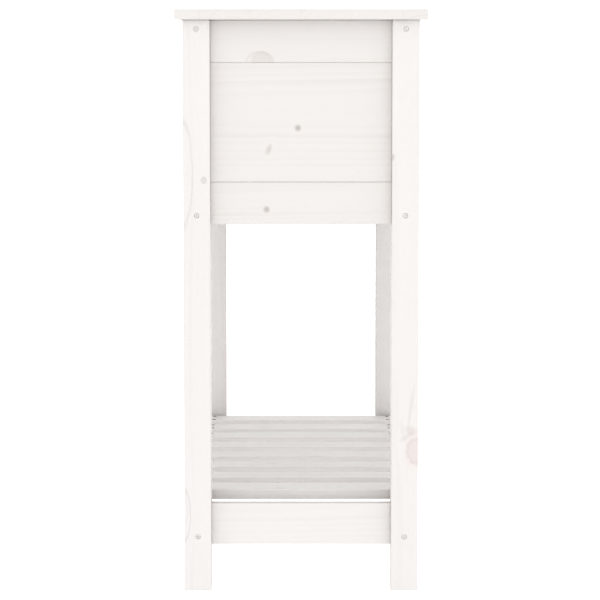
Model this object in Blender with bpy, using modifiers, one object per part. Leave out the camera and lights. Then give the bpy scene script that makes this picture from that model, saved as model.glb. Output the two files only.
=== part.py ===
"""Potting bench in white painted pine.

Two end frames, each of two legs, three rails and an infill board, are joined by six long rails.
The box under the worktop is closed at its ends and back, is open at the front, and has a slatted floor.
A second row of slats on the lowest rails makes the shelf.

Metres, +Z up. The bench runs along X, its front faces -Y, and the origin is on the ground under its middle.
"""
import bmesh
import bpy
from math import pi
from mathutils import Vector

# Overall size
TOP_LENGTH = 0.825
TOP_DEPTH = 0.350
HEIGHT = 0.815
END_OVERHANG = 0.011  # worktop past the legs at each end
SIDE_OVERHANG = 0.011  # worktop past the legs at the front and the back

# Timber sections
TOP_THICKNESS = 0.0145
LEG_SIZE = 0.038
BOARD_THICKNESS = 0.0145  # rails and slats
RAIL_WIDTH = 0.059
INFILL_WIDTH = 0.1655
INFILL_THICKNESS = 0.0125
SLAT_WIDTH = 0.0555
CLEAT_SIZE = 0.018
LEG_EDGE_RADIUS = 0.002
EDGE_RADIUS = 0.0012  # rails and slats
INFILL_EDGE_RADIUS = 0.0005
CLEAT_EDGE_RADIUS = 0.001
TOP_EDGE_RADIUS = 0.0025
EDGE_SEGMENTS = 3
END_SOFTENING = 0.5  # rounding of exposed ends, as a share of the long edges' radius

# Shelf and floor
SHELF_RAIL_HEIGHT = 0.0645  # ground to the underside of the lowest rails
SLAT_COUNT = 8
SLAT_LEG_CLEARANCE = 0.004  # end slats to the legs
SLAT_SETBACK = 0.002  # shelf slat ends behind the legs' outer faces
SLAT_SCREW_SPACING = 0.033  # between the two screws at each slat end
FLOOR_DROP = 0.004  # floor slats below the top edges of the box rails

# Joinery
TENON_THICKNESS = 0.006
TENON_LENGTH = 0.008
TENON_SHOULDER = 0.0085  # rail edge to tenon
TONGUE_LENGTH = 0.006
SCREW_EDGE_DISTANCE = 0.0127  # screw centre to the rail's edge
SCREW_LAND = 0.010  # screw centre to tenon

# Countersunk screws: long ones through the legs, short ones through the slats
FRAME_SCREW_LENGTH = 0.070
FRAME_SHANK_RADIUS = 0.00225
FRAME_SCREW_SIDES = 20
SLAT_SCREW_LENGTH = 0.030
SLAT_SHANK_RADIUS = 0.0018
SLAT_SCREW_SIDES = 12
SCREW_TIP = 0.006
HEAD_RADIUS = 0.0031
HEAD_RIM = 0.0006
HEAD_HEIGHT = 0.0030
FRAME_HEAD_SINK = 0.0006  # head below the face of the wood
SLAT_HEAD_SINK = 0.0020

GAP = 0.0003  # left between pieces that touch
CUT_PAST = 0.004  # how far a cutter runs out past the face that it cuts

# Places worked out from the sizes above. Distances in X and Y are from the middle, for either side.
LEG_TOP = HEIGHT - TOP_THICKNESS
LEG_END = TOP_LENGTH / 2 - END_OVERHANG
LEG_SIDE = TOP_DEPTH / 2 - SIDE_OVERHANG
LEG_INNER_END = LEG_END - LEG_SIZE
LEG_INNER_SIDE = LEG_SIDE - LEG_SIZE
END_PLANE = LEG_END - LEG_SIZE / 2  # middle of the end rails' thickness
SIDE_PLANE = LEG_SIDE - LEG_SIZE / 2  # middle of the long rails' thickness
RAIL_INNER_END = END_PLANE - BOARD_THICKNESS / 2
RAIL_INNER_SIDE = SIDE_PLANE - BOARD_THICKNESS / 2
BOX_RAIL_TOP = LEG_TOP - RAIL_WIDTH - INFILL_WIDTH
SHELF_RAIL_TOP = SHELF_RAIL_HEIGHT + RAIL_WIDTH
FLOOR_TOP = BOX_RAIL_TOP - FLOOR_DROP
FLOOR_UNDERSIDE = FLOOR_TOP - BOARD_THICKNESS

ENDS = (("left", -1), ("right", 1))
SIDES = (("front", -1), ("back", 1))
LEVELS = {  # each rail's lower and upper edge
    "top": (LEG_TOP - RAIL_WIDTH, LEG_TOP),
    "box": (BOX_RAIL_TOP - RAIL_WIDTH, BOX_RAIL_TOP),
    "shelf": (SHELF_RAIL_HEIGHT, SHELF_RAIL_TOP),
}


# ---------------------------------------------------------------- scene and materials

for old in list(bpy.data.objects):
    bpy.data.objects.remove(old, do_unlink=True)

bench = bpy.data.collections.new("potting_bench")
cutters = bpy.data.collections.new("cutters")
for collection in (bench, cutters):
    bpy.context.scene.collection.children.link(collection)


def finish(name, colour, roughness, metallic=0.0):
    """A material with one Principled shader."""
    material = bpy.data.materials.new(name)
    material.use_nodes = True
    shader = material.node_tree.nodes["Principled BSDF"]
    shader.inputs["Base Color"].default_value = (*colour, 1.0)
    shader.inputs["Roughness"].default_value = roughness
    shader.inputs["Metallic"].default_value = metallic
    return material


painted_pine = finish("painted_pine", (0.86, 0.84, 0.80), 0.55)
zinc_steel = finish("zinc_steel", (0.62, 0.62, 0.60), 0.38, 1.0)


# ---------------------------------------------------------------- shapes

def outward(near, far, side):
    """The stretch from near to far out from the middle, on the side that -1 or 1 names."""
    return (near, far) if side > 0 else (-far, -near)


def both_ways(reach):
    """The stretch that reaches equally far on both sides of the middle."""
    return (-reach, reach)


def block(name, x, y, z, collection):
    """A plain box between the given stretches in X, Y and Z."""
    low, high = (Vector(corner) for corner in zip(x, y, z))
    shape = bmesh.new()
    bmesh.ops.create_cube(shape, size=1.0)
    bmesh.ops.scale(shape, vec=high - low, verts=shape.verts)
    mesh = bpy.data.meshes.new(name)
    shape.to_mesh(mesh)
    shape.free()
    piece = bpy.data.objects.new(name, mesh)
    piece.location = (low + high) / 2
    collection.objects.link(piece)
    return piece


def timber(name, x, y, z, along, radius=EDGE_RADIUS, ends=0.0):
    """A length of timber with rounded long edges. The edges round its ends get a share of that radius."""
    piece = block(name, x, y, z, bench)
    mesh = piece.data
    mesh.materials.append(painted_pine)
    axis = "xyz".index(along)
    weights = mesh.attributes.new("bevel_weight_edge", "FLOAT", "EDGE")
    for edge in mesh.edges:
        start, end = (mesh.vertices[index].co for index in edge.vertices)
        weights.data[edge.index].value = 1.0 if (end - start)[axis] else ends
    rounding = piece.modifiers.new("rounded_edges", "BEVEL")
    rounding.limit_method = "WEIGHT"
    rounding.width = radius
    rounding.segments = EDGE_SEGMENTS
    return piece


def turned(name, profile, sides, collection):
    """A solid turned about its own Z axis from a profile of (radius, height) points, top first."""
    mesh = bpy.data.meshes.new(name)
    points = [(radius, 0.0, height) for radius, height in profile]
    mesh.from_pydata(points, [(i, i + 1) for i in range(len(points) - 1)], [])
    piece = bpy.data.objects.new(name, mesh)
    collection.objects.link(piece)
    lathe = piece.modifiers.new("turned", "SCREW")
    lathe.axis = "Z"
    lathe.steps = lathe.render_steps = sides
    lathe.use_merge_vertices = True
    lathe.merge_threshold = 0.00005
    return piece


def hidden(cutter):
    """Mark a helper that only shapes other pieces."""
    cutter.hide_render = True
    cutter.display_type = "WIRE"
    return cutter


def helper_block(name, x, y, z):
    """A plain box that shapes another piece."""
    return hidden(block(name, x, y, z, cutters))


def shaped_by(piece, helper, operation):
    """Cut the helper from the piece, or join it on."""
    change = piece.modifiers.new(helper.name, "BOOLEAN")
    change.operation = operation
    change.solver = "EXACT"
    change.object = helper


# ---------------------------------------------------------------- joints between the timbers

def tenon_stretch(level):
    """The tenon's height on a rail: the screw has one edge of the rail, and the tenon has the rest."""
    low, high = LEVELS[level]
    if level == "top":
        return (low + TENON_SHOULDER, high - SCREW_EDGE_DISTANCE - SCREW_LAND)
    return (low + SCREW_EDGE_DISTANCE + SCREW_LAND, high - TENON_SHOULDER)


def screw_height(level):
    low, high = LEVELS[level]
    return high - SCREW_EDGE_DISTANCE if level == "top" else low + SCREW_EDGE_DISTANCE


def thickness_about(plane, thickness, side):
    """The stretch of a board's thickness about its middle plane, on the named side."""
    return outward(plane - thickness / 2, plane + thickness / 2, side)


def widened(stretch, by):
    return (stretch[0] - by, stretch[1] + by)


# Stretches of height that the end boards and the back board share in the legs
infill_height = (BOX_RAIL_TOP, LEG_TOP - RAIL_WIDTH)
panel_groove_height = widened((tenon_stretch("box")[0], tenon_stretch("top")[1]), GAP)


# ---------------------------------------------------------------- legs

legs = {}
for end_name, end in ENDS:
    for side_name, side in SIDES:
        name = f"leg_{side_name}_{end_name}"
        leg = timber(
            name,
            outward(LEG_INNER_END, LEG_END, end),
            outward(LEG_INNER_SIDE, LEG_SIDE, side),
            (0.0, LEG_TOP - GAP),
            along="z",
            radius=LEG_EDGE_RADIUS,
            ends=END_SOFTENING,
        )
        legs[side_name, end_name] = leg

        # Slots for the end panel, in the face towards the other leg of the same end
        across = thickness_about(END_PLANE, TENON_THICKNESS + 2 * GAP, end)
        into_side = outward(LEG_INNER_SIDE - CUT_PAST, LEG_INNER_SIDE + TENON_LENGTH + GAP, side)
        end_slots = {"panel": panel_groove_height, "shelf": widened(tenon_stretch("shelf"), GAP)}
        for slot_name, height in end_slots.items():
            slot = helper_block(f"{name}_end_{slot_name}_slot", across, into_side, height)
            shaped_by(leg, slot, "DIFFERENCE")

        # Slots for the long rails, in the face towards the other end: the back board needs one long slot
        across = thickness_about(SIDE_PLANE, TENON_THICKNESS + 2 * GAP, side)
        into_end = outward(LEG_INNER_END - CUT_PAST, LEG_INNER_END + TENON_LENGTH + GAP, end)
        if side_name == "back":
            long_slots = end_slots
        else:
            long_slots = {level: widened(tenon_stretch(level), GAP) for level in LEVELS}
        for slot_name, height in long_slots.items():
            slot = helper_block(f"{name}_long_{slot_name}_slot", into_end, across, height)
            shaped_by(leg, slot, "DIFFERENCE")


# ---------------------------------------------------------------- rails

rails = {}
for level, height in LEVELS.items():
    tenon_height = tenon_stretch(level)
    rail_height = (height[0], height[1] - GAP)

    for side_name, side in SIDES:
        name = f"{side_name}_{level}_rail"
        rail = timber(
            name,
            both_ways(LEG_INNER_END - GAP),
            thickness_about(SIDE_PLANE, BOARD_THICKNESS, side),
            rail_height,
            along="x",
        )
        rails[side_name, level] = rail
        tenon = helper_block(
            f"{name}_tenons",
            both_ways(LEG_INNER_END + TENON_LENGTH - GAP),
            thickness_about(SIDE_PLANE, TENON_THICKNESS, side),
            tenon_height,
        )
        shaped_by(rail, tenon, "UNION")

    for end_name, end in ENDS:
        name = f"{end_name}_{level}_rail"
        rail = timber(
            name,
            thickness_about(END_PLANE, BOARD_THICKNESS, end),
            both_ways(LEG_INNER_SIDE - GAP),
            rail_height,
            along="y",
        )
        rails[end_name, level] = rail
        tenon = helper_block(
            f"{name}_tenons",
            thickness_about(END_PLANE, TENON_THICKNESS, end),
            both_ways(LEG_INNER_SIDE + TENON_LENGTH - GAP),
            tenon_height,
        )
        shaped_by(rail, tenon, "UNION")


# ---------------------------------------------------------------- infill boards, tongued on all four edges

def infill_board(place, x_of, y_of, along):
    """A board between two rails: x_of and y_of take a thickness and a reach and give its stretches."""
    body = (INFILL_THICKNESS, -GAP)
    tongue = (TENON_THICKNESS, TONGUE_LENGTH - GAP)
    groove = (TENON_THICKNESS + 2 * GAP, TENON_LENGTH + CUT_PAST)
    board = timber(
        f"{place}_infill_board",
        x_of(*body),
        y_of(*body),
        (infill_height[0], infill_height[1] - GAP),
        along=along,
        radius=INFILL_EDGE_RADIUS,
    )
    plate = helper_block(
        f"{place}_infill_tongues", x_of(*tongue), y_of(*tongue), widened(infill_height, TONGUE_LENGTH - GAP)
    )
    shaped_by(board, plate, "UNION")
    cut = helper_block(
        f"{place}_rail_grooves", x_of(*groove), y_of(*groove), widened(infill_height, TONGUE_LENGTH)
    )
    for level in ("top", "box"):
        shaped_by(rails[place, level], cut, "DIFFERENCE")


for end_name, end in ENDS:
    infill_board(
        end_name,
        lambda thickness, reach, end=end: thickness_about(END_PLANE, thickness, end),
        lambda thickness, reach: both_ways(LEG_INNER_SIDE + reach),
        along="y",
    )
infill_board(
    "back",
    lambda thickness, reach: both_ways(LEG_INNER_END + reach),
    lambda thickness, reach: thickness_about(SIDE_PLANE, thickness, 1),
    along="x",
)


# ---------------------------------------------------------------- frame screws

def screw_profile(length, shank_radius, sink, clearance=0.0, above_head=0.0):
    """Half the outline of a countersunk screw, the face of the wood at height 0 and its point downwards."""
    head = HEAD_RADIUS + clearance
    rim = -sink - HEAD_RIM - clearance
    neck = -sink - HEAD_HEIGHT - clearance
    shank = shank_radius + clearance
    point = -length - clearance
    return [
        (0.0, above_head - sink), (head, above_head - sink), (head, rim), (shank, neck),
        (shank, point + SCREW_TIP), (0.0, point),
    ]


# Each passes through a leg into the end of a long rail, in one bore that both share
frame_screw = screw_profile(FRAME_SCREW_LENGTH, FRAME_SHANK_RADIUS, FRAME_HEAD_SINK)
frame_bore = screw_profile(FRAME_SCREW_LENGTH, FRAME_SHANK_RADIUS, FRAME_HEAD_SINK, GAP, CUT_PAST)
for level in LEVELS:
    for end_name, end in ENDS:
        for side_name, side in SIDES:
            name = f"screw_{side_name}_{end_name}_{level}"
            screw = turned(name, frame_screw, FRAME_SCREW_SIDES, bench)
            screw.data.materials.append(zinc_steel)
            bore = hidden(turned(f"{name}_bore", frame_bore, FRAME_SCREW_SIDES, cutters))
            for piece in (screw, bore):
                piece.location = (end * LEG_END, side * SIDE_PLANE, screw_height(level))
                piece.rotation_euler = (0.0, end * pi / 2, 0.0)
            shaped_by(legs[side_name, end_name], bore, "DIFFERENCE")
            shaped_by(rails[side_name, level], bore, "DIFFERENCE")


# ---------------------------------------------------------------- cleats that carry the box floor

for side_name, side in SIDES:
    timber(
        f"{side_name}_floor_cleat",
        both_ways(LEG_INNER_END - GAP),
        outward(RAIL_INNER_SIDE - CLEAT_SIZE - GAP, RAIL_INNER_SIDE - GAP, side),
        (FLOOR_UNDERSIDE - CLEAT_SIZE - GAP, FLOOR_UNDERSIDE - GAP),
        along="x",
        radius=CLEAT_EDGE_RADIUS,
    )


# ---------------------------------------------------------------- slats of the shelf and of the box floor

# The slats are bored for their screws, which cut their own way into the wood below
slat_bore = screw_profile(SLAT_SCREW_LENGTH, SLAT_SHANK_RADIUS, SLAT_HEAD_SINK, GAP, CUT_PAST)
slat_row = 2 * (LEG_INNER_END - SLAT_LEG_CLEARANCE)
slat_pitch = (slat_row - SLAT_WIDTH) / (SLAT_COUNT - 1)


def slats(row, reach, underside, screw_plane):
    """A row of slats that reach equally far to the front and the back, with two screw holes near each end."""
    for index in range(SLAT_COUNT):
        middle = (SLAT_WIDTH - slat_row) / 2 + index * slat_pitch
        slat = timber(
            f"{row}_slat_{index + 1}",
            (middle - SLAT_WIDTH / 2, middle + SLAT_WIDTH / 2),
            both_ways(reach),
            (underside, underside + BOARD_THICKNESS),
            along="y",
            ends=END_SOFTENING,
        )
        for side_name, side in SIDES:
            for hole, offset in enumerate(both_ways(SLAT_SCREW_SPACING / 2)):
                bore = turned(f"{slat.name}_{side_name}_bore_{hole}", slat_bore, SLAT_SCREW_SIDES, cutters)
                bore.location = (middle + offset, side * screw_plane, underside + BOARD_THICKNESS)
                shaped_by(slat, hidden(bore), "DIFFERENCE")


slats("shelf", LEG_SIDE - SLAT_SETBACK, SHELF_RAIL_TOP, SIDE_PLANE)
slats("floor", RAIL_INNER_SIDE - GAP, FLOOR_UNDERSIDE, RAIL_INNER_SIDE - GAP - CLEAT_SIZE / 2)


# ---------------------------------------------------------------- cleats and batten under the worktop

for end_name, end in ENDS:
    timber(
        f"{end_name}_top_cleat",
        outward(RAIL_INNER_END - CLEAT_SIZE - GAP, RAIL_INNER_END - GAP, end),
        both_ways(LEG_INNER_SIDE - GAP),
        (LEG_TOP - CLEAT_SIZE - GAP, LEG_TOP - GAP),
        along="y",
        radius=CLEAT_EDGE_RADIUS,
    )
timber(
    "worktop_batten",
    both_ways(RAIL_WIDTH / 2),
    both_ways(RAIL_INNER_SIDE - GAP),
    (LEG_TOP - BOARD_THICKNESS - GAP, LEG_TOP - GAP),
    along="y",
)


# ---------------------------------------------------------------- worktop

timber(
    "worktop",
    both_ways(TOP_LENGTH / 2),
    both_ways(TOP_DEPTH / 2),
    (LEG_TOP, HEIGHT),
    along="x",
    radius=TOP_EDGE_RADIUS,
    ends=1.0,
)
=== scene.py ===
"""Potting bench in white painted pine: the finished looks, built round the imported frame.

The frame's timbers keep their shape and are painted here, each as a board of its own, with its own grain
and knots. The screws and the paint in the joints are made here. Metres, +Z up; the bench runs along X and
its open front faces -Y.
"""
import math
import random

import bmesh
import bpy
from mathutils import Matrix, Vector


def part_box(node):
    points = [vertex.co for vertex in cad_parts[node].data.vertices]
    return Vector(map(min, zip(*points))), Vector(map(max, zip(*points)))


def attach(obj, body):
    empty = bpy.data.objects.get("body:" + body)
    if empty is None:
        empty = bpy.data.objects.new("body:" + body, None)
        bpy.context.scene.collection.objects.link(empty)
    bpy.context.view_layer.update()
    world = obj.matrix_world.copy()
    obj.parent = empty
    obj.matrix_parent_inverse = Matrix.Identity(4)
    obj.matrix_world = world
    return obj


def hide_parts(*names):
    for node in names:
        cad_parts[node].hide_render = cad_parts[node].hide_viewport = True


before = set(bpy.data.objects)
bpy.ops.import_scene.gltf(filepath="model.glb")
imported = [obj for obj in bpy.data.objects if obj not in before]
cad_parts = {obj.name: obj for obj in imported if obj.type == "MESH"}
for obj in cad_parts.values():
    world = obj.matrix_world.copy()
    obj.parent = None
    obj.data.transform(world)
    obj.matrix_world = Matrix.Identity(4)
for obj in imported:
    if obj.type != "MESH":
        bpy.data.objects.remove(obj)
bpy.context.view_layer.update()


# ---------------------------------------------------------------- camera
# A long lens looks at the bench's right end, square on, from over three and a half metres away.
# It stands a little below the height of the worktop and tilts down to take in the feet.

leg_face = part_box("leg_front_right")[1].x
camera_distance = 3.658
camera_aside = -0.0015
camera_height = 0.785
camera_tilt = 5.822

camera_data = bpy.data.cameras.new("camera")
camera_data.sensor_width = 36.0
camera_data.lens = 158.31
camera = bpy.data.objects.new("camera", camera_data)
camera.location = (leg_face + camera_distance, camera_aside, camera_height)
camera.rotation_euler = (math.radians(90.0 - camera_tilt), 0.0, math.radians(90.0))
bpy.context.scene.collection.objects.link(camera)
bpy.context.scene.camera = camera


# ---------------------------------------------------------------- studio
# White surroundings and a white floor that glows a little, so that it carries only a faint shadow.
# One large soft lamp stands beside the camera and lifts the end of the bench over the rest.

white = (1.0, 1.0, 1.0, 1.0)
floor_colour = (0.30, 0.30, 0.30, 1.0)
floor_radius = 12.0
floor_glow = 0.78
lamp_power = 3.6
lamp_size = 1.8
lamp_place = Vector((3.6, 0.0, 2.1))
lamp_aim = Vector((leg_face, 0.0, 0.45))

world = bpy.data.worlds.new("white_studio")
world.use_nodes = True
world.node_tree.nodes["Background"].inputs["Color"].default_value = white
bpy.context.scene.world = world
bpy.context.scene.view_settings.view_transform = "Standard"
bpy.context.scene.view_settings.exposure = 0.30
bpy.context.scene.view_settings.gamma = 0.60

lamp_data = bpy.data.lights.new("lamp", "AREA")
lamp_data.energy = lamp_power
lamp_data.size = lamp_size
lamp = bpy.data.objects.new("lamp", lamp_data)
lamp.location = lamp_place
lamp.rotation_euler = (lamp_aim - lamp_place).to_track_quat("-Z", "Y").to_euler()
lamp.visible_camera = False
bpy.context.scene.collection.objects.link(lamp)

floor_paper = bpy.data.materials.new("white_floor")
floor_paper.use_nodes = True
floor_shader = floor_paper.node_tree.nodes["Principled BSDF"]
floor_shader.inputs["Base Color"].default_value = floor_colour
floor_shader.inputs["Roughness"].default_value = 1.0
floor_shader.inputs["Specular IOR Level"].default_value = 0.0
floor_shader.inputs["Emission Color"].default_value = white
floor_shader.inputs["Emission Strength"].default_value = floor_glow

floor_mesh = bpy.data.meshes.new("floor")
floor_shape = bmesh.new()
bmesh.ops.create_circle(floor_shape, cap_ends=True, radius=floor_radius, segments=64)
floor_shape.to_mesh(floor_mesh)
floor_shape.free()
floor_mesh.materials.append(floor_paper)
floor = bpy.data.objects.new("floor", floor_mesh)
bpy.context.scene.collection.objects.link(floor)


# ---------------------------------------------------------------- legs
# Four square posts of planed pine with rounded corners, standing on their end grain. The end frames' boards
# are let into them and the long rails are screwed to them. They are painted white all over, thinly enough
# that growth rings, knots and the odd resin streak show through.

class Field:
    """A value that varies through a material. Arithmetic on it adds Math nodes to the material."""

    def __init__(self, finish, socket):
        self.finish = finish
        self.socket = socket

    def math(self, operation, *others):
        return self.finish.math(operation, self, *others)

    def __add__(self, other):
        return self.finish.math("ADD", self, other)

    def __sub__(self, other):
        return self.finish.math("SUBTRACT", self, other)

    def __rsub__(self, other):
        return self.finish.math("SUBTRACT", other, self)

    def __mul__(self, other):
        return self.finish.math("MULTIPLY", self, other)

    def __truediv__(self, other):
        return self.finish.math("DIVIDE", self, other)

    def __rtruediv__(self, other):
        return self.finish.math("DIVIDE", other, self)

    __radd__ = __add__
    __rmul__ = __mul__


class Finish:
    """A material that is laid down one node at a time."""

    def __init__(self, name):
        self.material = bpy.data.materials.new(name)
        self.material.use_nodes = True
        self.shader = self.material.node_tree.nodes["Principled BSDF"]

    def put(self, socket, value):
        if isinstance(value, Field):
            self.material.node_tree.links.new(value.socket, socket)
        else:
            socket.default_value = value

    def surface(self, quality, value):
        """Give the shader one of its own qualities, such as its roughness."""
        self.put(self.shader.inputs[quality], value)

    def node(self, kind, settings, values, output=0):
        """Add a node: its settings first, then the values or links of its sockets. Returns one output."""
        made = self.material.node_tree.nodes.new("ShaderNode" + kind)
        for name, value in settings.items():
            setattr(made, name, value)
        named = {socket.identifier: socket for socket in made.inputs}
        for key, value in values.items():
            self.put(named[key] if key in named else made.inputs[key], value)
        outputs = {socket.identifier: socket for socket in made.outputs}
        return Field(self, outputs[output] if output in outputs else made.outputs[output])

    def math(self, operation, *values):
        return self.node("Math", {"operation": operation}, dict(enumerate(values)))

    def vector(self, operation, *values):
        return self.node("VectorMath", {"operation": operation}, dict(enumerate(values)))

    def scaled(self, vector, factor):
        return self.node("VectorMath", {"operation": "SCALE"}, {0: vector, "Scale": factor})

    def length(self, vector):
        return self.node("VectorMath", {"operation": "LENGTH"}, {0: vector}, "Value")

    def noise(self, place, detail=2.0, roughness=0.5):
        """Smooth noise between about -1 and 1 whose waves are one unit of place long."""
        values = {"Vector": place, "Scale": 1.0, "Detail": detail, "Roughness": roughness}
        return (self.node("TexNoise", {}, values) - 0.5) * 2.5

    def chance(self, number, output):
        """A chance value or colour of its own for each whole number."""
        return self.node("TexWhiteNoise", {"noise_dimensions": "1D"}, {"W": number}, output)

    def ramp(self, value, low, high):
        """0 below low, 1 above high, and a smooth rise between them. It falls if high is less than low."""
        falls = high < low
        values = {"Value": value, "From Min": min(low, high), "From Max": max(low, high)}
        values.update({"To Min": float(falls), "To Max": float(not falls)})
        return self.node("MapRange", {"interpolation_type": "SMOOTHSTEP"}, values)

    def blend(self, amount, first, second):
        mixed = {"Factor_Float": amount, "A_Color": first, "B_Color": second}
        return self.node("Mix", {"data_type": "RGBA"}, mixed, "Result_Color")


def middle_of(node):
    low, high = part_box(node)
    return (low + high) / 2


def knot(at, radii, lean=0.0, core=0.6, rim=0.2, flush=0.1, bend=0.92, soft=0.2, rough=0.09):
    """A knot round a point, with a radius along X, Y and Z. It leans about the axis of its largest radius.

    core and rim darken its middle and its outline, flush is the pink of resin in it, and bend turns the rings
    aside. soft is how far its edge fades, and rough how uneven it is, both as shares of its radius."""
    return {"at": at, "radii": radii, "lean": math.radians(lean), "core": core, "rim": rim, "flush": flush,
            "bend": bend, "soft": soft, "rough": rough}


white_paint = (0.745, 0.729, 0.719, 1.0)
paint_over_latewood = (0.64, 0.612, 0.590, 1.0)
paint_over_knot = (0.50, 0.467, 0.448, 1.0)
paint_over_resin = (0.735, 0.690, 0.676, 1.0)
# Bare pine in the slats' screw holes, made darker than bare pine alone as painted shade inside the holes
bare_pine_with_painted_shade = (0.30, 0.235, 0.185, 1.0)

# Rings stray from a true circle, slowly along the board and in short ripples
ring_wander = 0.009
ring_ripple = 0.0007

# A knot's pull on the rings fades at this rate with the square of the way from its middle, counted in radii.
# Its own rings repeat at the next rate, and its dark outline lies at the last share of its radius
knot_pull_fade = 0.28
knot_ring_rate = 19.0
knot_outline = 0.92

# How far each shows through the paint, from 0 to 1
fibre_shows = 0.022
cloud_shows = 0.055
thin_paint_shows = 0.03
end_grain_shows = 0.16
glue_line_shows = 0.12

# How far each stands out of the surface or sinks into it
latewood_rise = 0.000030
fibre_rise = 0.000003
knot_dip = 0.000040
glue_line_dip = 0.000060

# The depths over which the paint thins at a rounded corner, and over which end grain begins
thin_paint_from, thin_paint_to = 0.0019, 0.0008
end_grain_from, end_grain_to = 0.0008, 0.0002
glue_line_half_width = 0.0007

# Bare wood, darkened further by painted shade inside the hole, shows this far round the middle of a slat's
# screw, and starts this far below its top
bore_wall_from, bore_wall_to = 0.0044, 0.0041
bore_depth_from, bore_depth_to = 0.0001, 0.0003


class PinePaint(Finish):
    """White paint over one board of pine. The heart of its tree runs along the grain through pith."""

    def __init__(self, timber, grain, pith, seed):
        super().__init__(f"{timber}_paint")
        chance = random.Random(seed)
        self.low, self.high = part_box(timber)
        self.pith = pith
        self.along = "xyz".index(grain)
        self.shift = tuple(chance.uniform(-9.0, 9.0) for _ in range(3))
        self.place = self.node("TexCoord", {}, {}, "Object")
        self.board = self.place

    def glue_staves(self, width):
        """Take each stave of a panel from another part of the tree, up to 3 m along it and 25 mm across.
        Returns where the glue lines are."""
        across = self.node("SeparateXYZ", {}, {0: self.place}, "Y") / width
        stave = across.math("FLOOR")
        share = self.chance(stave, "Color")
        own_part = self.vector("MULTIPLY_ADD", share, (6.0, 0.05, 0.05), (-3.0, -0.025, -0.025))
        centred = self.vector("ADD", self.place, self.scaled((0.0, -width, 0.0), stave + 0.5))
        self.board = self.vector("ADD", centred, own_part)
        off_middle = (across.math("FRACT") - 0.5).math("ABSOLUTE")
        return self.ramp(off_middle, 0.5 - glue_line_half_width / width, 0.5)

    def stretched(self, waves, share_along):
        """A place in the board, in waves per metre across the grain and only a share as many along it."""
        scale = [waves] * 3
        scale[self.along] *= share_along
        return self.vector("MULTIPLY_ADD", self.board, tuple(scale), self.shift)

    def grow_knots(self, knots):
        """Draw the wood in towards each knot's middle, so that the rings bend aside.
        Returns the wood's place, how dark its knots are there and how pink their resin is."""
        wood = self.board
        heart = resin = 0.0
        unevenness = self.noise(self.stretched(170.0, 0.6), 3.0)
        for spot in knots:
            through = max(range(3), key=lambda axis: spot["radii"][axis])
            turn = [0.0, 0.0, 0.0]
            turn[through] = spot["lean"]
            knot_frame = {"Location": spot["at"], "Rotation": tuple(turn), "Scale": spot["radii"]}
            local = self.node("Mapping", {"vector_type": "TEXTURE"}, {"Vector": self.place, **knot_frame})
            reach = self.length(local) + unevenness * spot["rough"]
            if spot["bend"]:
                pull = (reach * reach * -knot_pull_fade).math("EXPONENT") * -spot["bend"]
                from_knot = self.vector("SUBTRACT", self.place, spot["at"])
                wood = self.vector("ADD", wood, self.scaled(from_knot, pull))
            inside = self.ramp(reach, 1.0 + spot["soft"], 1.0 - spot["soft"])
            outline = self.ramp((reach - knot_outline).math("ABSOLUTE"), 0.8 * spot["soft"], 0.0)
            rings = (reach * knot_ring_rate).math("SINE") * 0.12 + 0.80
            heart = inside * rings * spot["core"] + outline * spot["rim"] + heart
            resin = self.ramp(reach, 1.9, 0.8) * spot["flush"] + resin
        return wood, heart, resin

    def latewood(self, wood, ring_width):
        """The dark line that ends each year's ring round the heart of the tree, which wanders along the
        board. Few years leave a strong line, and the paint lets each show in some stretches only."""
        wander = self.noise(self.stretched(6.0, 0.22), 1.0) * ring_wander
        ripple = self.noise(self.stretched(50.0, 0.10), 2.0) * ring_ripple
        crossing = [1.0, 1.0, 1.0]
        crossing[self.along] = 0.0
        spoke = self.vector("MULTIPLY", self.vector("SUBTRACT", wood, self.pith), tuple(crossing))
        count = (self.length(spoke) + wander + ripple) / ring_width
        width_change = self.noise(self.node("CombineXYZ", {}, {"X": count * 0.45}), 1.0)
        count = count + width_change * 0.55
        phase = count.math("FRACT")
        year = self.chance(count.math("FLOOR"), "Value")
        strength = year * year * 1.3 + 0.15
        seen = self.ramp(self.noise(self.stretched(11.0, 0.16), 2.0), -0.55, 0.65) * 0.8 + 0.2
        return self.ramp(phase, 0.25, 0.90) * self.ramp(phase, 1.0, 0.91) * strength * seen

    def depths(self):
        """How far a place lies inside the board's box, along X, Y and Z."""
        off_middle = self.vector("SUBTRACT", self.place, tuple((self.high + self.low) / 2))
        half_size = tuple((self.high - self.low) / 2)
        inside = self.vector("SUBTRACT", half_size, self.vector("ABSOLUTE", off_middle))
        return [self.node("SeparateXYZ", {}, {0: inside}, axis) for axis in "XYZ"]

    def bore_walls(self, depth, middle, offset):
        """Where the four screw holes round a slat's middle are. They were sunk after the paint was dry, and
        their walls take bare wood darkened by painted shade.
        """
        apart = self.vector("ABSOLUTE", self.vector("SUBTRACT", self.place, middle))
        flat = self.vector("MULTIPLY", self.vector("SUBTRACT", apart, offset), (1.0, 1.0, 0.0))
        near = self.ramp(self.length(flat), bore_wall_from, bore_wall_to)
        return near * self.ramp(depth, bore_depth_from, bore_depth_to)


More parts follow.
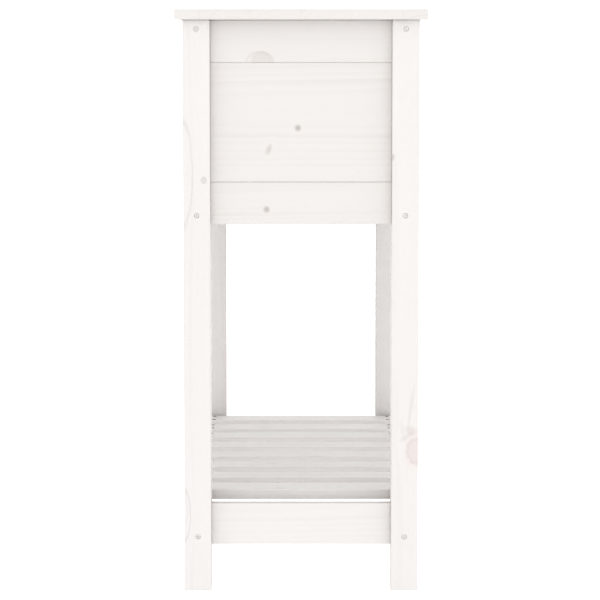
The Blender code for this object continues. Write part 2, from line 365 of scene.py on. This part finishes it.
def painted_pine(timber, grain, pith, seed, knots, ring_width, contrast, tone_and_painted_light, stave_width, bores):
    """One board's finished material. contrast is how far its rings show, and tone how far all of it does; on
    some boards this holds painted shade or painted light.
    """
    pine = PinePaint(timber, grain, pith, seed)
    if stave_width:
        glue_line = pine.glue_staves(stave_width)
    wood, heart, resin = pine.grow_knots(knots)
    latewood = pine.latewood(wood, ring_width)
    fibre = pine.noise(pine.stretched(900.0, 0.018), 3.0, 0.6)
    cloud = pine.noise(pine.stretched(20.0, 0.30), 3.0, 0.55)

    # A corner is where two of the depths are small, whichever the third is
    depth = pine.depths()
    corner = depth[0] + depth[1] + depth[2] - depth[0].math("MAXIMUM", depth[1]).math("MAXIMUM", depth[2])
    thin = pine.ramp(corner + cloud * 0.0003, thin_paint_from, thin_paint_to)
    end_grain = pine.ramp(depth[pine.along], end_grain_from, end_grain_to)

    showing = latewood * contrast + fibre * fibre_shows + cloud * cloud_shows + tone_and_painted_light
    showing = showing + thin * thin_paint_shows + end_grain * end_grain_shows
    colour = pine.blend(showing.math("MAXIMUM", 0.0).math("MINIMUM", 1.0), white_paint, paint_over_latewood)
    relief = latewood * latewood_rise + fibre * fibre_rise
    if knots:
        colour = pine.blend(resin.math("MINIMUM", 1.0), colour, paint_over_resin)
        colour = pine.blend(heart.math("MINIMUM", 1.0), colour, paint_over_knot)
        relief = relief - heart * knot_dip
    if stave_width:
        colour = pine.blend(glue_line * glue_line_shows, colour, paint_over_knot)
        relief = relief - glue_line * glue_line_dip
    if bores:
        # Bare wood with painted shade on the walls of the slats' screw holes
        colour = pine.blend(pine.bore_walls(depth[2], *bores), colour, bare_pine_with_painted_shade)

    pine.surface("Base Color", colour)
    pine.surface("Roughness", latewood * -0.06 + cloud * 0.03 + end_grain * 0.12 + 0.50)
    pine.surface("Normal", pine.node("Bump", {}, {"Strength": 1.0, "Distance": 1.0, "Height": relief}))
    pine.surface("Specular IOR Level", 0.4)
    return pine.material


def paint(timber, grain, pith, seed, knots=(), ring_width=0.0045, contrast=0.20, tone_and_painted_light=0.06,
          stave_width=None, bores=None):
    """Paint one of the frame's timbers as a board of its own, and shade its rounded corners smooth.

    pith is the way from the timber's middle to the heart of its tree."""
    heart = tuple(middle_of(timber) + Vector(pith))
    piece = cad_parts[timber]
    piece.material_slots[0].material = painted_pine(
        timber, grain, heart, seed, knots, ring_width, contrast, tone_and_painted_light, stave_width, bores)
    weld = piece.modifiers.new("shared_corners", "WELD")
    weld.merge_threshold = 0.00001
    split = piece.modifiers.new("crisp_corners", "EDGE_SPLIT")
    split.split_angle = math.radians(40.0)
    soften = piece.modifiers.new("soft_roundings", "WEIGHTED_NORMAL")
    soften.weight = 90


paint("leg_front_right", "z", (0.045, 0.020, 0.0), 11, [
    knot((leg_face, -0.135, 0.579), (0.012, 0.0040, 0.0050), core=0.36, rim=0.10, flush=0.0, soft=0.35),
    knot((leg_face, -0.1660, 0.587), (0.090, 0.0165, 0.082), core=0.0, rim=0.17, flush=0.0, bend=0.3,
         soft=0.15),
    knot((leg_face, -0.1650, 0.108), (0.060, 0.0105, 0.040), core=0.0, rim=0.20, flush=0.0, bend=0.3),
    knot((leg_face, -0.1650, 0.114), (0.040, 0.0060, 0.022), core=0.0, rim=0.16, flush=0.0, bend=0.0),
    knot((0.374, -0.168, 0.330), (0.006, 0.020, 0.009)),
], ring_width=0.006, contrast=0.13)
paint("leg_back_right", "z", (0.050, -0.015, 0.0), 12, [
    knot((leg_face, 0.1590, 0.199), (0.030, 0.0105, 0.0185), core=0.15, rim=0.15, flush=0.7,
         soft=0.32, rough=0.30),
    knot((leg_face, 0.1470, 0.219), (0.020, 0.0100, 0.0032), lean=35.0, core=0.24, rim=0.0, flush=0.0,
         bend=0.3, soft=0.8, rough=0.5),
    knot((leg_face, 0.1420, 0.230), (0.020, 0.0030, 0.0110), lean=12.0, core=0.15, rim=0.0, flush=0.0,
         bend=0.0, soft=0.8, rough=0.5),
    knot((leg_face, 0.1545, 0.228), (0.020, 0.0080, 0.0050), lean=-20.0, core=0.22, rim=0.0, flush=0.3,
         bend=0.0, soft=0.7, rough=0.5),
    knot((leg_face, 0.1540, 0.262), (0.030, 0.0020, 0.0260), lean=-8.0, core=0.18, rim=0.0,
         bend=0.4, soft=0.5, rough=0.2),
    knot((leg_face, 0.1275, 0.611), (0.010, 0.0020, 0.0045), core=0.5, rim=0.0, soft=0.5),
], ring_width=0.008, contrast=0.13)
# The left legs get a lighter paint than the right ones: painted light on the legs that stand in the bench's
# shade.
paint("leg_front_left", "z", (-0.040, 0.030, 0.0), 13, [
    knot((-leg_face, -0.139, 0.262), (0.014, 0.0050, 0.0065), core=0.2, soft=0.3, rough=0.2),
    knot((-0.379, -0.164, 0.465), (0.0045, 0.012, 0.0060), core=0.4, rim=0.0, soft=0.4, rough=0.2),
], tone_and_painted_light=0.0)
paint("leg_back_left", "z", (-0.055, 0.010, 0.0), 14, [
    knot((-leg_face, 0.152, 0.640), (0.014, 0.0060, 0.0080), core=0.2, flush=0.5, soft=0.3, rough=0.2),
    knot((-0.386, 0.164, 0.301), (0.0030, 0.010, 0.0040), core=0.5, rim=0.0, soft=0.5, rough=0.2),
], tone_and_painted_light=0.0)


# ---------------------------------------------------------------- end frames
# At each end a top rail, an infill board, a box rail and a shelf rail lie between the legs.
# They are set back behind the legs' faces, and the board is a little thinner than the rails.

board_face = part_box("right_infill_board")[1].x
# The top rail, infill board and box rail at this end get a darker paint than the same parts at the left end:
# painted shade under the worktop's overhang and in the recess between the legs.
paint("right_top_rail", "y", (0.030, 0.0, -0.030), 21, [
    knot((board_face, -0.055, 0.7430), (0.040, 0.0145, 0.0140), core=0.24, rim=0.05, rough=0.15),
    knot((board_face, -0.057, 0.7425), (0.080, 0.0200, 0.0150), core=0.0, rim=0.16, flush=0.0, bend=0.0),
], ring_width=0.006, tone_and_painted_light=0.16)
paint("right_infill_board", "y", (0.050, 0.0, 0.020), 22, [
    knot((board_face, -0.0045, 0.651), (0.040, 0.0036, 0.0036), core=0.95, rim=0.0, soft=0.75),
    knot((board_face, -0.045, 0.621), (0.040, 0.0032, 0.0068), lean=-22.0, core=0.42, rim=0.0,
         soft=0.6, rough=0.2),
], ring_width=0.008, tone_and_painted_light=0.18)
paint("right_box_rail", "y", (0.030, 0.0, 0.025), 23, [
    knot((board_face, -0.048, 0.5375), (0.040, 0.0038, 0.0038), core=0.85, rim=0.0, soft=0.7),
], ring_width=0.007, tone_and_painted_light=0.20)
paint("right_shelf_rail", "y", (0.040, 0.0, 0.030), 24, ring_width=0.006)


def scattered_knots(timber, seed, count, small=0.0030, large=0.0075, dead_share=0.35):
    """Knots at chance places in a board, each running through its thinnest way. Dead ones are small."""
    chance = random.Random(seed)
    low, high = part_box(timber)
    size = high - low
    margin = size * 0.1
    thin, wide, long = sorted(range(3), key=lambda axis: size[axis])
    spots = []
    for _ in range(count):
        dead = chance.random() < dead_share
        radii = [0.0, 0.0, 0.0]
        radii[wide] = chance.uniform(small, large) * (0.6 if dead else 1.0)
        radii[long] = radii[wide] * chance.uniform(1.0, 1.5)
        radii[thin] = 3.0 * size[thin]
        at = tuple(chance.uniform(lowest, highest) for lowest, highest in zip(low + margin, high - margin))
        look = {"core": 0.6, "rim": 0.10, "soft": 0.45} if dead else {"core": 0.17, "rim": 0.16, "flush": 0.5}
        spots.append(knot(at, tuple(radii), chance.uniform(-20.0, 20.0), rough=0.2, **look))
    return spots


for offset, level in enumerate(("top_rail", "infill_board", "box_rail", "shelf_rail")):
    name = f"left_{level}"
    knots = scattered_knots(name, 31 + offset, 1 + offset % 2)
    paint(name, "y", (-0.035, 0.0, 0.020 - 0.012 * offset), 31 + offset, knots, ring_width=0.006)


# ---------------------------------------------------------------- long rails and the back board
# Three rails at the front and three at the back, of the same boards as the end rails, held by screws through
# the legs. A wide, thinner board between the back's upper two closes the box behind.

for offset, level in enumerate(("top", "box", "shelf")):
    for side, toward_heart, first_seed in (("front", -0.040, 41), ("back", 0.035, 51)):
        name = f"{side}_{level}_rail"
        seed = first_seed + offset
        knots = scattered_knots(name, seed, 2)
        paint(name, "x", (0.0, toward_heart, 0.012 * offset - 0.020), seed, knots, ring_width=0.006)
back_knots = scattered_knots("back_infill_board", 55, 4)
paint("back_infill_board", "x", (0.0, 0.060, 0.015), 55, back_knots, ring_width=0.007)


# ---------------------------------------------------------------- paint in the joints
# The boards and rails meet the legs and each other in hairline joints, and the worktop meets their tops.
# The paint has run into these and bridges each a little below the face of the wood, with a hollow surface.

joint_half_width = 0.00045
bead_depth = 0.00035
bead_depth_under_worktop = 0.0008
bead_hollow = 0.00015
bead_thickness = 0.0010
leg_rounding = 0.002

joint_finish = Finish("paint_in_joints")
joint_place = joint_finish.node("TexCoord", {}, {}, "Object")
joint_tone = joint_finish.noise(joint_finish.vector("MULTIPLY", joint_place, (60.0, 60.0, 60.0)), 3.0)
joint_colour = joint_finish.blend(joint_tone * 0.2 + 0.3, white_paint, paint_over_latewood)
joint_finish.surface("Base Color", joint_colour)
joint_finish.surface("Roughness", joint_tone * 0.04 + 0.5)


def on_face(facing, face, run, height):
    """A place on a face that looks along X, where facing is 0, or along Y, where it is 1."""
    return Vector((run, face, height)) if facing else Vector((face, run, height))


def paint_bead(mesh, facing, face, way, start, end, depth=bead_depth):
    """Fill a joint in a face that looks way, 1 or -1. start and end are places along the face and heights."""
    first_end, last_end = on_face(facing, face, *start), on_face(facing, face, *end)
    out = on_face(facing, way, 0.0, 0.0)
    aside = (last_end - first_end).normalized().cross(out) * joint_half_width
    front, hollow, back = out * -depth, out * -(depth + bead_hollow), out * -(depth + bead_thickness)
    section = [aside + front, hollow, front - aside, back - aside, back + aside]
    first = [mesh.verts.new(first_end + point) for point in section]
    last = [mesh.verts.new(last_end + point) for point in section]
    mesh.faces.new(first)
    mesh.faces.new(reversed(last))
    for index in range(len(section)):
        after = (index + 1) % len(section)
        mesh.faces.new((first[after], first[index], last[index], last[after]))


inner_corner, outer_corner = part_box("leg_back_right")
leg_top = outer_corner.z
board_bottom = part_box("right_box_rail")[1].z
board_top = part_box("right_top_rail")[0].z

# facing is 0 for the ends and 1 for the front and back, and outer picks a box's low or high corner
for side, facing, outer in (("left", 0, 0), ("right", 0, 1), ("front", 1, 0), ("back", 1, 1)):
    along = 1 - facing
    half_run = inner_corner[along]
    beads = []
    for level in ("top_rail", "box_rail", "shelf_rail", "infill_board"):
        board = f"{side}_{level}"
        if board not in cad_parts:
            continue
        low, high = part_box(board)
        bottom, top = (board_bottom, board_top) if level == "infill_board" else (low.z, high.z)
        for face, way in ((low[facing], -1), (high[facing], 1)):
            beads.append((face, way, (-half_run, bottom), (-half_run, top)))
            beads.append((face, way, (half_run, bottom), (half_run, top)))
            if level == "infill_board":
                beads.append((face, way, (-half_run, bottom), (half_run, bottom)))
                beads.append((face, way, (-half_run, top), (half_run, top)))

    under_worktop = [(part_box(f"{side}_top_rail")[outer][facing], -half_run, half_run)]
    for leg in ("leg_front_left", "leg_front_right", "leg_back_left", "leg_back_right"):
        if side in leg:
            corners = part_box(leg)
            near, far = corners[0][along] + leg_rounding, corners[1][along] - leg_rounding
            under_worktop.append((corners[outer][facing], near, far))
    outwards = 2 * outer - 1
    for face, near, far in under_worktop:
        beads.append((face, outwards, (near, leg_top), (far, leg_top), bead_depth_under_worktop))

    name = f"{side}_joint_paint"
    shape = bmesh.new()
    for bead in beads:
        paint_bead(shape, facing, *bead)
    bmesh.ops.recalc_face_normals(shape, faces=shape.faces)
    mesh = bpy.data.meshes.new(name)
    shape.to_mesh(mesh)
    shape.free()
    mesh.materials.append(joint_finish.material)
    piece = bpy.data.objects.new(name, mesh)
    bpy.context.scene.collection.objects.link(piece)
    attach(piece, "root")


# ---------------------------------------------------------------- box floor and shelf
# Eight pine slats each, with open gaps between them. The box floor's slats are screwed down on two cleats,
# and the shelf's on the lowest long rails.

slat_screw_spacing = 0.033
slat_bearers = {"floor": "floor_cleat", "shelf": "shelf_rail"}
slat_seeds = {"floor": 70, "shelf": 80}
slat_streaks = {
    "shelf_slat_8": [knot((0.352, -0.030, 0.138), (0.0020, 0.0080, 0.020), core=0.28, rim=0.0, bend=0.4)],
    "shelf_slat_6": [knot((0.136, -0.044, 0.138), (0.0022, 0.0120, 0.020), core=0.35, rim=0.0, bend=0.4)],
    "shelf_slat_2": [knot((-0.228, -0.060, 0.138), (0.0040, 0.0150, 0.020), core=0.30, rim=0.0, bend=0.4)],
}
for side, seed in (("front", 61), ("back", 62)):
    paint(f"{side}_floor_cleat", "x", (0.0, 0.020, 0.030), seed)
for row, bearer in slat_bearers.items():
    screw_offset = (slat_screw_spacing / 2, middle_of(f"back_{bearer}").y, 0.0)
    for index in range(1, 9):
        name = f"{row}_slat_{index}"
        seed = slat_seeds[row] + index
        chance = random.Random(seed)
        pith = (chance.uniform(-0.015, 0.015), 0.0, chance.choice((-1, 1)) * chance.uniform(0.020, 0.050))
        top_middle = (middle_of(name).x, 0.0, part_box(name)[1].z)
        knots = slat_streaks.get(name, [] if row == "shelf" else scattered_knots(name, seed, index % 3))
        # The slats get a lighter paint than the other timbers: painted light on slats that lie in the shade
        # under the worktop and the box.
        paint(name, "y", pith, seed, knots, tone_and_painted_light=0.02, bores=(top_middle, screw_offset))


# ---------------------------------------------------------------- screws
# Countersunk screws with a cross recess, zinc plated: twelve long ones hold the legs to the long rails,
# and four short ones hold each slat. Their heads lie a little below the face of the wood.

new_zinc = (0.80, 0.78, 0.76, 1.0)
dulled_zinc = (0.72, 0.70, 0.68, 1.0)
zinc = Finish("zinc_plate")
zinc_place = zinc.node("TexCoord", {}, {}, "Object")
dulling = zinc.noise(zinc.vector("MULTIPLY", zinc_place, (700.0, 700.0, 700.0)), 3.0)
zinc.surface("Base Color", zinc.blend(dulling * 0.3 + 0.4, new_zinc, dulled_zinc))
zinc.surface("Roughness", dulling * 0.06 + 0.48)
zinc.surface("Metallic", 1.0)

head_radius = 0.0031
head_chamfer = 0.0001
head_rim = 0.0006
head_height = 0.0030
screw_tip = 0.006
screw_sides = 32
recess_depth = 0.0010
recess_reach = 0.0018
recess_taper = 0.45
recess_slot = 0.0005


def turned_screw(name, length, shank_radius, head_sink):
    """The screw without its recess. The face of the wood is at height 0, and its point is downwards."""
    profile = [(head_radius - head_chamfer, -head_sink), (head_radius, -head_sink - head_chamfer),
               (head_radius, -head_sink - head_rim), (shank_radius, -head_sink - head_height),
               (shank_radius, screw_tip - length)]
    turns = [2 * math.pi * step / screw_sides for step in range(screw_sides)]
    shape = bmesh.new()
    rings = []
    for radius, height in profile:
        rings.append([shape.verts.new((radius * math.cos(a), radius * math.sin(a), height)) for a in turns])
    tip = shape.verts.new((0.0, 0.0, -length))
    shape.faces.new(rings[0])
    for upper, lower in zip(rings, rings[1:]):
        for step in range(screw_sides):
            after = (step + 1) % screw_sides
            shape.faces.new((upper[step], lower[step], lower[after], upper[after]))
    for step in range(screw_sides):
        shape.faces.new((rings[-1][step], tip, rings[-1][(step + 1) % screw_sides]))
    mesh = bpy.data.meshes.new(name)
    shape.to_mesh(mesh)
    shape.free()
    screw = bpy.data.objects.new(name, mesh)
    bpy.context.scene.collection.objects.link(screw)
    return screw


def recess_blade(name, turned, head_sink):
    """One of the two crossed blades, narrower at the bottom, that press the recess into the head."""
    blade = bmesh.new()
    bmesh.ops.create_cube(blade, size=1.0)
    for corner in blade.verts:
        top = corner.co.z > 0
        corner.co.x = math.copysign(recess_reach if top else recess_taper * recess_reach, corner.co.x)
        corner.co.y = math.copysign(recess_slot, corner.co.y)
        corner.co.z = 0.0 if top else -head_sink - recess_depth
    bmesh.ops.rotate(blade, verts=blade.verts, matrix=Matrix.Rotation(math.radians(turned), 3, "Z"))
    mesh = bpy.data.meshes.new(name)
    blade.to_mesh(mesh)
    blade.free()
    cutter = bpy.data.objects.new(name, mesh)
    bpy.context.scene.collection.objects.link(cutter)
    return cutter


def screw_shape(name, length, shank_radius, head_sink):
    """The mesh of a finished screw, whose head lies head_sink below the face of the wood."""
    screw = turned_screw(name, length, shank_radius, head_sink)
    cutters = [recess_blade(f"{name}_recess", turned, head_sink) for turned in (0.0, 90.0)]
    for cutter in cutters:
        cut = screw.modifiers.new("recess", "BOOLEAN")
        cut.object = cutter
        cut.solver = "EXACT"
    bpy.context.view_layer.update()
    finished = bpy.data.meshes.new_from_object(screw.evaluated_get(bpy.context.evaluated_depsgraph_get()))
    finished.name = name
    for helper in (screw, *cutters):
        bpy.data.objects.remove(helper)
    finished.shade_smooth()
    finished.set_sharp_from_angle(angle=math.radians(30.0))
    finished.materials.append(zinc.material)
    return finished


long_screw = screw_shape("long_screw", length=0.070, shank_radius=0.00225, head_sink=0.0006)
for end_name, end in (("left", -1), ("right", 1)):
    head_outwards = Matrix.Rotation(end * math.pi / 2, 4, "Y")
    for side in ("front", "back"):
        for level in ("top", "box", "shelf"):
            node = f"screw_{side}_{end_name}_{level}"
            middle = middle_of(node)
            screw = bpy.data.objects.new(f"zinc_{node}", long_screw)
            screw.matrix_world = Matrix.Translation((end * leg_face, middle.y, middle.z)) @ head_outwards
            bpy.context.scene.collection.objects.link(screw)
            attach(screw, "root")
            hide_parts(node)

slat_screw = screw_shape("slat_screw", length=0.030, shank_radius=0.0018, head_sink=0.0020)
for row, bearer in slat_bearers.items():
    for index in range(1, 9):
        slat = f"{row}_slat_{index}"
        slat_middle = middle_of(slat).x
        slat_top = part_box(slat)[1].z
        joined = bmesh.new()
        for side in ("front", "back"):
            across = middle_of(f"{side}_{bearer}").y
            for offset in (-slat_screw_spacing / 2, slat_screw_spacing / 2):
                spin = random.Random(f"{slat}{side}{offset}").uniform(0.0, math.pi)
                copy = slat_screw.copy()
                copy.transform(Matrix.Translation((slat_middle + offset, across, slat_top))
                               @ Matrix.Rotation(spin, 4, "Z"))
                joined.from_mesh(copy)
                bpy.data.meshes.remove(copy)
        mesh = bpy.data.meshes.new(f"{slat}_screws")
        joined.to_mesh(mesh)
        joined.free()
        mesh.materials.append(zinc.material)
        screws = bpy.data.objects.new(f"{slat}_screws", mesh)
        bpy.context.scene.collection.objects.link(screws)
        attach(screws, "root")


# ---------------------------------------------------------------- worktop
# One panel of pine staves glued edge to edge, planed flat, rounded on all its edges and painted.
# Two cleats and a batten run across it underneath and keep it flat.

for name, seed in (("left_top_cleat", 104), ("right_top_cleat", 105), ("worktop_batten", 104)):
    paint(name, "y", (0.020, 0.0, 0.030), seed)
paint("worktop", "x", (0.0, 0.0, -0.045), 95, scattered_knots("worktop", 95, 7), stave_width=0.070)
